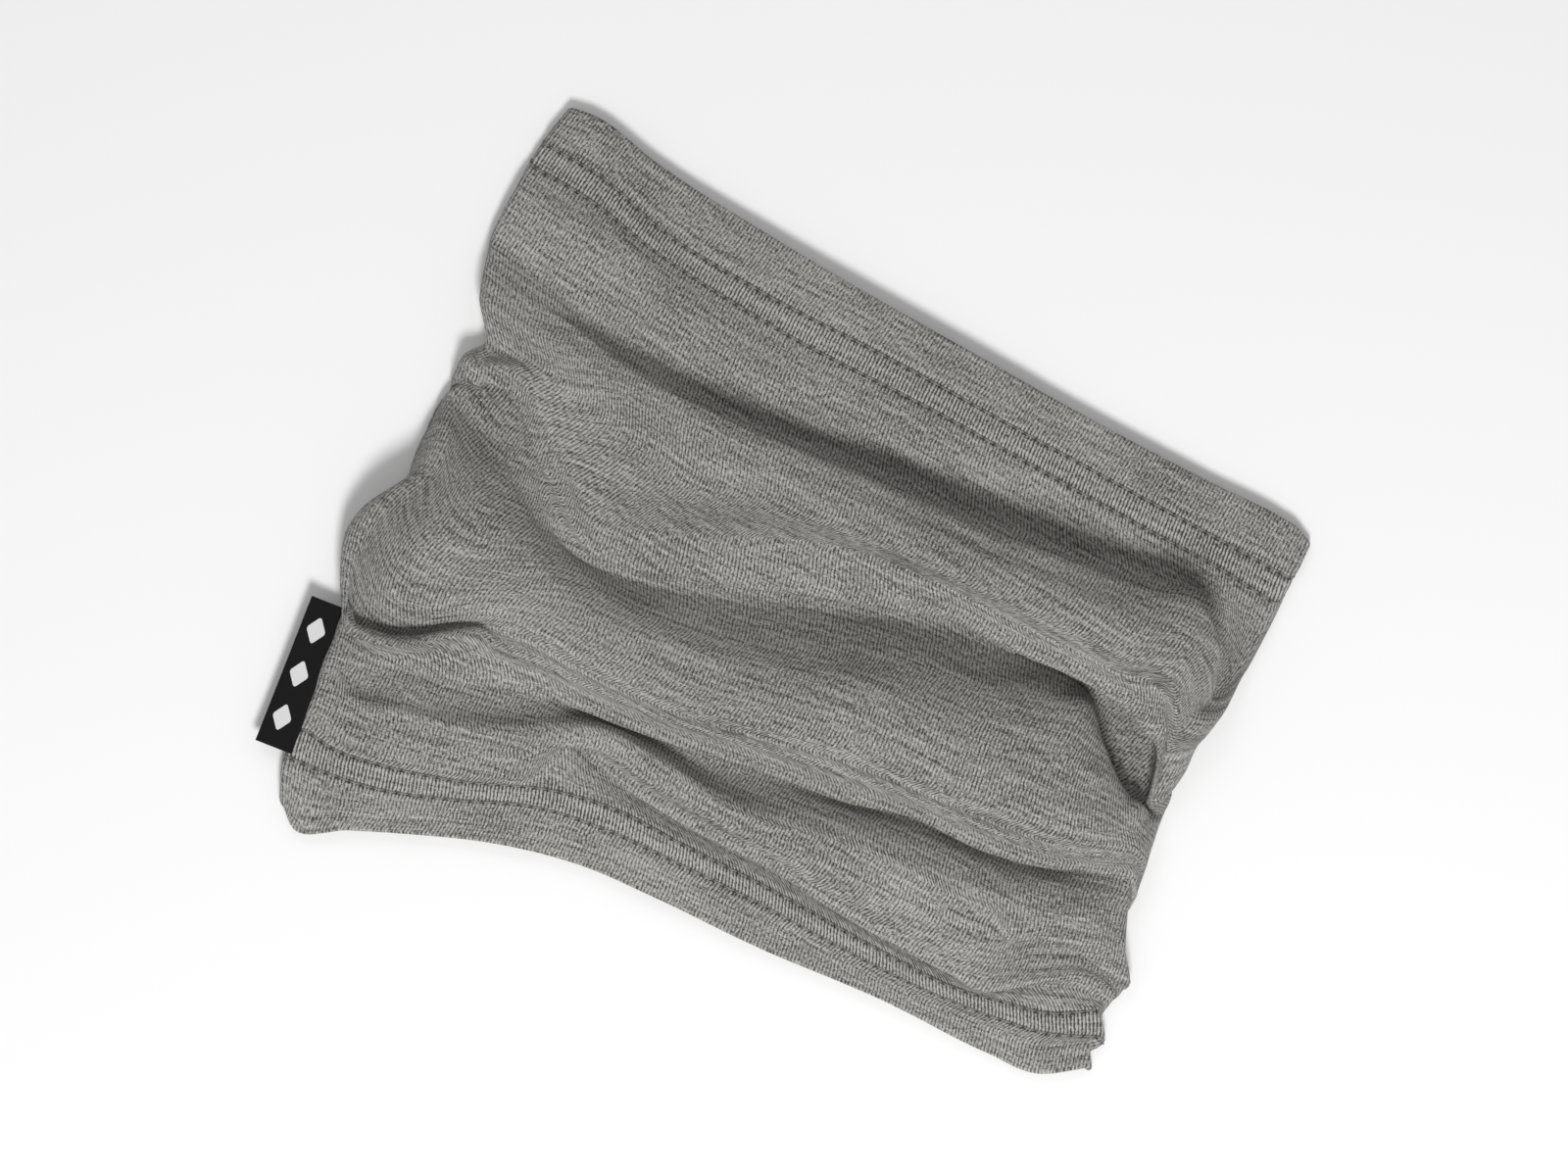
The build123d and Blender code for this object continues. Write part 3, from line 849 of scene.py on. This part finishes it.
def hem_looper(name, first, second, thread, material):
    """The looper thread inside a hem, which crosses from one needle row to the other at each stitch."""
    cloth = laid_cloth()
    a, b = cloth.ring_of[first], cloth.ring_of[second]
    steps = 8
    beat = np.linspace(0, 1, steps + 1)
    girth = (np.arange(STITCH_COUNT)[:, None] + beat) * STITCH_PITCH
    swing = 0.5 - 0.5 * np.cos(beat * 2 * math.pi)
    inside = -(CLOTH / 2 + CLOTH + PLY_GAP + LOOPER_CLEAR)
    paths = np.empty(girth.shape + (3,))
    ups = np.empty_like(paths)
    for k, share in enumerate(swing):
        points, normals = cloth.at(a + (b - a) * share, girth[:, k])
        paths[:, k] = points + normals * inside
        ups[:, k] = normals
    verts, faces = sweep(paths, ups, thread.radius / MM, 5)
    return new_piece(name, verts, faces, material)


def seam_line(margin, count, inwards):
    """A calm line of count points down the inside of the left fold, margin rings clear of both hems."""
    cloth = laid_cloth()
    line = cloth.points[cloth.ring_of["top_inner"] + margin:cloth.ring_of["bottom_inner"] - margin, 0]
    run = np.concatenate([[0], np.cumsum(np.linalg.norm(np.diff(line, axis=0), axis=1))])
    even = np.linspace(0, run[-1], SEAM_POINTS)
    line = np.stack([np.interp(even, run, line[:, k]) for k in range(3)], axis=1)
    reach = 9
    padded = np.concatenate([np.repeat(line[:1], reach, 0), line, np.repeat(line[-1:], reach, 0)])
    kernel = np.hanning(2 * reach + 3)[1:-1]
    kernel /= kernel.sum()
    line = np.stack([np.convolve(padded[:, k], kernel, "valid") for k in range(3)], axis=1)
    line[:, 0] += inwards
    pick = np.linspace(0, len(line) - 1, count)
    return np.stack([np.interp(pick, np.arange(len(line)), line[:, k]) for k in range(3)], axis=1)


def seam_allowance(material):
    """The two raw edges overlocked together, a flat flange inside the left fold."""
    rows, across = 120, 6
    line = seam_line(4, rows, SEAM_INWARDS)
    reach = np.linspace(0, SEAM_ALLOWANCE, across)
    sag = -SEAM_SAG * reach
    grid = np.stack([line[:, None, 0] + reach, np.repeat(line[:, None, 1], across, 1),
                     line[:, None, 2] + sag], axis=2)
    faces = [(i * across + j, (i + 1) * across + j, (i + 1) * across + j + 1, i * across + j + 1)
             for i in range(rows - 1) for j in range(across - 1)]
    piece = new_piece("seam_allowance", grid.reshape(-1, 3), faces, material)
    u, v = SEAM_LAY_START
    set_lay(piece, lambda at: np.stack([at[:, 0] + u, v - at[:, 1]], axis=1))
    give_thickness(piece, SEAM_THICKNESS)
    make_active(piece)
    rounded = piece.modifiers.new("rounded_edge", "BEVEL")
    rounded.width = 0.3 * MM
    rounded.segments = 2
    bpy.ops.object.modifier_apply(modifier=rounded.name)
    return piece


def seam_needle(thread, material):
    """Rows of straight stitches over and under the seam allowance."""
    count, points = 60, 5
    line = seam_line(5, count * points + 1, 2.4)
    paths = []
    for side in (1, -1):
        for k in range(count):
            run = line[k * points:(k + 1) * points].copy()
            run[:, 2] += side * (0.66 + 0.26 * np.sin(np.linspace(0, math.pi, points))) - 0.13
            paths.append(run)
    ups = np.zeros((len(paths), points, 3))
    ups[..., 2] = 1
    verts, faces = sweep(paths, ups, thread.radius / MM, 5)
    return new_piece("seam_needle_thread", verts, faces, material)


def seam_looper(thread, material):
    """Loops of thread over the raw edge of the seam allowance."""
    count = 58
    line = seam_line(5, count + 1, 0)
    turn = np.linspace(-0.75 * math.pi, 0.75 * math.pi, 11)
    paths = []
    for k in range(count):
        a, b = line[k], line[k + 1]
        run = []
        for place, angle in enumerate(turn):
            along = place / (len(turn) - 1)
            centre = a + (b - a) * along
            reach = LOOP_REACH + LOOP_REACH * np.sign(math.cos(angle)) * abs(math.cos(angle)) ** 0.5
            run.append(centre + np.array([SEAM_INWARDS + max(reach, 1.2), 0,
                                          LOOP_HEIGHT * math.sin(angle) - SEAM_SAG * reach]))
        paths.append(run)
    paths = np.array(paths)
    ups = np.zeros_like(paths)
    ups[..., 1] = 1
    verts, faces = sweep(paths, ups, thread.radius / MM, 5)
    return new_piece("seam_looper_thread", verts, faces, material)


def label_place():
    """The label's swing line: its middle, the way out from the seam and the way up the seam."""
    joint = next(j for j in frame["joints"] if j["name"] == "label_swing")
    along = Vector(joint["axis"]).normalized()
    return Vector(joint["pos_m"]) / MM, Vector((-along.y, along.x, 0)), along


def on_label(out, up, height):
    """A point given by its place on the label, bent as the ribbon lies."""
    middle, outwards, along = label_place()
    beyond = max(out, 0)
    bend = (LABEL_WAVE * math.sin(up / 9.0) * beyond / CURL_OUT
            + CORNER_CURL * (beyond / CURL_OUT) ** 2 * (up / CURL_UP) ** 2)
    return middle + outwards * out + along * up + Vector((0, 0, height + bend))


def label_lay(at):
    """Places on the label, out from the seam and along it, for points in millimetres."""
    middle, outwards, along = label_place()
    away = at - np.array(middle)
    return np.stack([away @ np.array(outwards), away @ np.array(along) + LABEL_LAY_START], axis=1)


def side_label(look, material):
    """A ribbon folded double with its fold outwards and its two ends in the seam."""
    ply, gap, reach, half = look.ply / MM, look.ply_gap / MM, look.reach / MM, look.length / MM / 2
    outer = gap / 2 + ply
    profile = []
    runs = np.linspace(-LABEL_INSIDE, reach - outer, 12)
    turn = np.linspace(math.pi / 2, -math.pi / 2, 9)[1:-1]
    for radius in (outer, gap / 2):
        ring = [(x, radius) for x in runs]
        ring += [(reach - outer + radius * math.cos(a), radius * math.sin(a)) for a in turn]
        ring += [(x, -radius) for x in runs[::-1]]
        profile.append(ring)
    points = len(profile[0])
    rows = 37
    ups = np.linspace(-half, half, rows)
    verts = [tuple(on_label(x, up, z)) for up in ups for ring in profile for x, z in ring]
    faces = []
    for i in range(rows - 1):
        for ring in range(2):
            for j in range(points - 1):
                a = (i * 2 + ring) * points + j
                b = a + 2 * points
                faces.append((a, b, b + 1, a + 1) if ring == 0 else (a, a + 1, b + 1, b))
        for j in (0, points - 1):
            a, b = i * 2 * points + j, (i * 2 + 1) * points + j
            faces.append((a, b, b + 2 * points, a + 2 * points))
    for i in (0, rows - 1):
        for j in range(points - 1):
            a, b = i * 2 * points + j, (i * 2 + 1) * points + j
            faces.append((a, a + 1, b + 1, b))
    piece = new_piece("side_label_ribbon", verts, faces, material)
    face_outwards(piece)
    set_lay(piece, label_lay)
    make_active(piece)
    bpy.ops.object.shade_smooth_by_angle(angle=math.radians(50))
    return piece


def label_marks(look, material):
    """Three plain lozenges of white weft on each face of the label."""
    outer = (look.ply_gap / 2 + look.ply) / MM
    half_width, half_height = look.mark_width / MM / 2, look.mark_height / MM / 2
    marks = []
    for face in (1, -1):
        for number in (-1, 0, 1):
            bpy.ops.object.select_all(action="DESELECT")
            bpy.ops.mesh.primitive_cylinder_add(vertices=4, radius=1, depth=look.mark_relief,
                                                end_fill_type="NGON")
            mark = bpy.context.object
            mark.name = "mark"
            bpy.ops.object.mode_set(mode="EDIT")
            bpy.ops.mesh.select_all(action="SELECT")
            bpy.ops.transform.resize(value=(half_width * MM, half_height * MM, 1))
            bpy.ops.mesh.select_all(action="DESELECT")
            bpy.ops.mesh.select_mode(type="EDGE")
            edit = bmesh.from_edit_mesh(mark.data)
            for edge in edit.edges:
                if abs(edge.verts[0].co.z - edge.verts[1].co.z) > look.mark_relief / 2:
                    edge.select_set(True)
            edit.select_flush_mode()
            bmesh.update_edit_mesh(mark.data)
            bpy.ops.mesh.bevel(offset=0.8 * MM, segments=4)
            bpy.ops.mesh.select_all(action="SELECT")
            bpy.ops.mesh.quads_convert_to_tris()
            for axis, width, steps in (((1, 0, 0), half_width, 3), ((0, 1, 0), half_height, 5)):
                for k in range(1, steps):
                    bpy.ops.mesh.select_all(action="SELECT")
                    place = [0, 0, 0]
                    place[axis.index(1)] = (2 * k / steps - 1) * width * MM
                    bpy.ops.mesh.bisect(plane_co=place, plane_no=axis)
            bpy.ops.object.mode_set(mode="OBJECT")
            for vertex in mark.data.vertices:
                x, y, z = vertex.co / MM
                height = face * (outer + look.mark_relief / MM / 2 - 0.01) + z
                vertex.co = on_label(look.reach / MM / 2 + x, number * look.mark_pitch / MM + y, height) * MM
            marks.append(mark)
    bpy.ops.object.select_all(action="DESELECT")
    for mark in marks:
        mark.select_set(True)
    bpy.context.view_layer.objects.active = marks[0]
    bpy.ops.object.join()
    piece = bpy.context.object
    piece.name = "label_lozenges"
    for layer in list(piece.data.uv_layers):
        piece.data.uv_layers.remove(layer)
    piece.data.materials.append(material)
    set_lay(piece, label_lay)
    return piece


def care_label(material):
    """A blank satin ribbon held under the seam allowance, which drops on to the back layer."""
    low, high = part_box("care_label")
    low, high = Vector(low) / MM, Vector(high) / MM
    columns, rows = 26, 15
    drop_from, drop_over, curl_from, skew = 0.12, 0.25, 0.6, 0.12
    middle_y = (low.y + high.y) / 2
    half = CARE_WIDTH / 2
    x = np.linspace(low.x + 1.0, high.x - 1.0, columns)
    y = np.linspace(-half, half, rows)
    grid = []
    for row in y:
        for at in x:
            share = (at - x[0]) / (x[-1] - x[0])
            drop = smooth_step((share - drop_from) / drop_over)
            height = (high.z - 1.0) * (1 - drop) + (low.z + 0.5) * drop
            curl = 0.9 * max(share - curl_from, 0) ** 2 * 6 + 0.25 * math.sin(row / 4.0) * share
            grid.append((at, middle_y + row - skew * (at - x[0]), height + curl))
    faces = [(i * columns + j, i * columns + j + 1, (i + 1) * columns + j + 1, (i + 1) * columns + j)
             for i in range(rows - 1) for j in range(columns - 1)]
    piece = new_piece("care_ribbon", grid, faces, material)
    set_lay(piece, lambda at: at[:, :2] + CARE_LAY_START)
    give_thickness(piece, CARE_PLY)
    return piece


# ---- settings ----


def colour_setting(name, description, default):
    return bpy.props.FloatVectorProperty(name=name, description=description, default=default,
                                         subtype="COLOR", min=0, max=1)


def length_setting(name, description, default):
    return bpy.props.FloatProperty(name=name, description=description, default=default,
                                   unit="LENGTH", precision=6)


def number_setting(name, description, default, **more):
    return bpy.props.FloatProperty(name=name, description=description, default=default, **more)


class GaiterClothLook(bpy.types.PropertyGroup):
    wale_pitch: number_setting("Wale pitch", "Width of one knitted wale, in millimetres",
                               FABRIC_GIRTH / 480, min=0.3, max=4)
    course_pitch: number_setting("Course pitch", "Height of one knitted course, in millimetres",
                                 0.72, min=0.2, max=4)
    knit_depth: number_setting("Knit depth", "Depth of the knit's relief, in millimetres", 0.35, min=0, max=2)
    dark_wool: colour_setting("Dark wool", "The darker fibre of the heather", (0.045, 0.0445, 0.041))
    light_wool: colour_setting("Light wool", "The lighter fibre of the heather", (0.53, 0.523, 0.494))


class GaiterThread(bpy.types.PropertyGroup):
    radius: length_setting("Radius", "Radius of the sewing thread", 0.00021)
    thread_colour: colour_setting("Thread", "Colour of the sewing thread", (0.27, 0.266, 0.25))


class GaiterLabel(bpy.types.PropertyGroup):
    length: length_setting("Length", "Length of the label along the seam", 0.042)
    reach: length_setting("Reach", "How far the label stands out", 0.009)
    ply: length_setting("Ply", "Thickness of the ribbon", 0.0004)
    ply_gap: length_setting("Ply gap", "Room between the label's two layers", 0.00015)
    mark_width: length_setting("Mark width", "Width of a lozenge", 0.0056)
    mark_height: length_setting("Mark height", "Height of a lozenge", 0.008)
    mark_pitch: length_setting("Mark pitch", "From one lozenge to the next", 0.0126)
    mark_relief: length_setting("Mark relief", "Height of the white weft", 0.00012)
    ribbon_colour: colour_setting("Ribbon", "Colour of the ribbon", (0.010, 0.010, 0.0105))
    mark_colour: colour_setting("White weft", "Colour of the lozenges", (0.85, 0.85, 0.85))
    satin_colour: colour_setting("Care ribbon", "Colour of the care label", (0.78, 0.78, 0.76))


class GaiterStage(bpy.types.PropertyGroup):
    view_width: length_setting("View width", "Width of floor that the camera sees", 0.424)
    distance: length_setting("Camera height", "Height of the camera over the cloth", 1.7)
    roll: number_setting("Roll", "How far the camera is turned over the gaiter", math.radians(30.5),
                         subtype="ANGLE", unit="ROTATION")
    key_power: number_setting("Key light", "Power of the main lamp in watts", 17)
    fill_power: number_setting("Fill light", "Power of the opposite lamp in watts", 1.5)
    sky: number_setting("Sky", "Strength of the light from all round", 0.40)


# ---- operators ----


def sewn_on(piece, node):
    """Puts a row of thread on the gaiter in place of the plain one."""
    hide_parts(node)
    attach(piece, "gaiter")


class GAITER_OT_stage(bpy.types.Operator):
    """Sets the pale floor, the soft lamps and the camera straight above"""
    bl_idname = "gaiter.stage"
    bl_label = "Stage"

    def execute(self, context):
        stage = context.scene.gaiter_stage
        world = bpy.data.worlds.new("studio")
        context.scene.world = world
        world.use_nodes = True
        sky = world.node_tree.nodes["Background"]
        sky.inputs["Color"].default_value = (1, 1, 1, 1)
        sky.inputs["Strength"].default_value = stage.sky
        bpy.ops.object.select_all(action="DESELECT")
        bpy.ops.mesh.primitive_plane_add(size=FLOOR_SIZE)
        floor = context.object
        floor.name = "floor"
        paper = Finish("pale_floor", Roughness=0.9, Base_Color=(0.93, 0.93, 0.93, 1))
        floor.data.materials.append(paper.material)
        turn = Matrix.Rotation(stage.roll, 3, "Z")
        lamps = (("key_lamp", (0.1, -0.9, 1.2), 0.42, stage.key_power),
                 ("fill_lamp", (-0.3, 0.9, 1.1), 0.6, stage.fill_power))
        for name, place, size, power in lamps:
            lamp_data = bpy.data.lights.new(name, "AREA")
            lamp_data.size = size
            lamp_data.energy = power
            lamp = bpy.data.objects.new(name, lamp_data)
            lamp.location = turn @ Vector(place)
            lamp.rotation_euler = (-lamp.location).to_track_quat("-Z", "Y").to_euler()
            context.scene.collection.objects.link(lamp)
        high = Vector(CAD_BOX[1])
        camera_data = bpy.data.cameras.new("camera")
        camera_data.sensor_width = SENSOR_WIDTH
        camera_data.lens = SENSOR_WIDTH * stage.distance / stage.view_width
        camera = bpy.data.objects.new("camera", camera_data)
        camera.location = (*VIEW_MIDDLE, stage.distance + high.z / 3)
        camera.rotation_euler = (0, 0, stage.roll)
        context.scene.collection.objects.link(camera)
        context.scene.camera = camera
        context.scene.view_settings.view_transform = "Standard"
        return {"FINISHED"}


class GAITER_OT_tube(bpy.types.Operator):
    """Lays the knitted tube with its folds and turned-in hems, and the seam allowance inside it"""
    bl_idname = "gaiter.tube"
    bl_label = "Knitted tube"

    def execute(self, context):
        material = jersey_finish(context.scene.gaiter_cloth)
        tube = jersey_tube(material)
        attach(tube, "gaiter")
        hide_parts("fabric_tube")
        flange = seam_allowance(material)
        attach(flange, "gaiter")
        return {"FINISHED"}


class GAITER_OT_hem_threads(bpy.types.Operator):
    """Sews both hems: two rows of needle stitches outside and a looper thread inside"""
    bl_idname = "gaiter.hem_threads"
    bl_label = "Hem stitches"

    def execute(self, context):
        thread = context.scene.gaiter_thread
        material = bpy.data.materials.get("sewing_thread") or thread_finish(thread)
        for hem in ("top", "bottom"):
            for row in ("outer", "inner"):
                piece = hem_stitches(f"{hem}_{row}_stitches", f"{hem}_{row}", thread, material)
                sewn_on(piece, f"{hem}_hem_{row}_needle_thread")
            piece = hem_looper(f"{hem}_hem_looper", f"{hem}_outer", f"{hem}_inner", thread, material)
            sewn_on(piece, f"{hem}_hem_looper_thread")
        return {"FINISHED"}


class GAITER_OT_seam_threads(bpy.types.Operator):
    """Overlocks the side seam"""
    bl_idname = "gaiter.seam_threads"
    bl_label = "Seam stitches"

    def execute(self, context):
        thread = context.scene.gaiter_thread
        material = bpy.data.materials.get("sewing_thread") or thread_finish(thread)
        sewn_on(seam_needle(thread, material), "side_seam_needle_thread")
        sewn_on(seam_looper(thread, material), "side_seam_looper_thread")
        return {"FINISHED"}


class GAITER_OT_side_label(bpy.types.Operator):
    """Sews the black ribbon label with its white lozenges in the side seam"""
    bl_idname = "gaiter.side_label"
    bl_label = "Side label"

    def execute(self, context):
        look = context.scene.gaiter_label
        black = ribbon_finish("label_ribbon", look.ribbon_colour, (0.002, 0.002, 0.002), roughness=0.75,
                              rib=0.42, depth=0.07, sheen=0.0)
        white = ribbon_finish("label_white_weft", look.mark_colour, (0.5, 0.5, 0.5), roughness=0.8,
                              rib=0.36, depth=0.06, sheen=0.1)
        label = side_label(look, black)
        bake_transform(label)
        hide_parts("side_label")
        marks = label_marks(look, white)
        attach(marks, "label_tab")
        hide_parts("side_label_marks")
        return {"FINISHED"}


class GAITER_OT_care_label(bpy.types.Operator):
    """Sews the blank care ribbon inside the side seam"""
    bl_idname = "gaiter.care_label"
    bl_label = "Care label"

    def execute(self, context):
        look = context.scene.gaiter_label
        satin = ribbon_finish("care_satin", look.satin_colour, (0.6, 0.6, 0.58), roughness=0.4,
                              rib=0.3, depth=0.03, sheen=0.0)
        label = care_label(satin)
        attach(label, "gaiter")
        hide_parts("care_label")
        return {"FINISHED"}


class GAITER_PT_panel(bpy.types.Panel):
    """The gaiter's pieces and their sizes"""
    bl_idname = "GAITER_PT_panel"
    bl_label = "Neck gaiter"
    bl_space_type = "VIEW_3D"
    bl_region_type = "UI"
    bl_category = "Gaiter"

    def draw(self, context):
        for name, group, operators in SECTIONS:
            box = self.layout.box()
            box.label(text=name)
            settings = getattr(context.scene, group)
            for prop in settings.bl_rna.properties:
                if not prop.is_readonly and prop.identifier != "name":
                    box.prop(settings, prop.identifier)
            for operator in operators:
                box.operator(operator.bl_idname)


SECTIONS = (
    ("Stage", "gaiter_stage", (GAITER_OT_stage,)),
    ("Cloth", "gaiter_cloth", (GAITER_OT_tube,)),
    ("Thread", "gaiter_thread", (GAITER_OT_hem_threads, GAITER_OT_seam_threads)),
    ("Labels", "gaiter_label", (GAITER_OT_side_label, GAITER_OT_care_label)),
)
GROUPS = {"gaiter_stage": GaiterStage, "gaiter_cloth": GaiterClothLook, "gaiter_thread": GaiterThread,
          "gaiter_label": GaiterLabel}
CLASSES = (*GROUPS.values(), GAITER_OT_stage, GAITER_OT_tube, GAITER_OT_hem_threads, GAITER_OT_seam_threads,
           GAITER_OT_side_label, GAITER_OT_care_label, GAITER_PT_panel)


def register():
    for cls in CLASSES:
        bpy.utils.register_class(cls)
    for name, group in GROUPS.items():
        setattr(bpy.types.Scene, name, bpy.props.PointerProperty(type=group))


def unregister():
    for name in GROUPS:
        delattr(bpy.types.Scene, name)
    for cls in reversed(CLASSES):
        bpy.utils.unregister_class(cls)


def main():
    register()
    bpy.ops.gaiter.stage()
    bpy.ops.gaiter.tube()
    bpy.ops.gaiter.hem_threads()
    bpy.ops.gaiter.seam_threads()
    bpy.ops.gaiter.side_label()
    bpy.ops.gaiter.care_label()


if __name__ == "__main__":
    main()
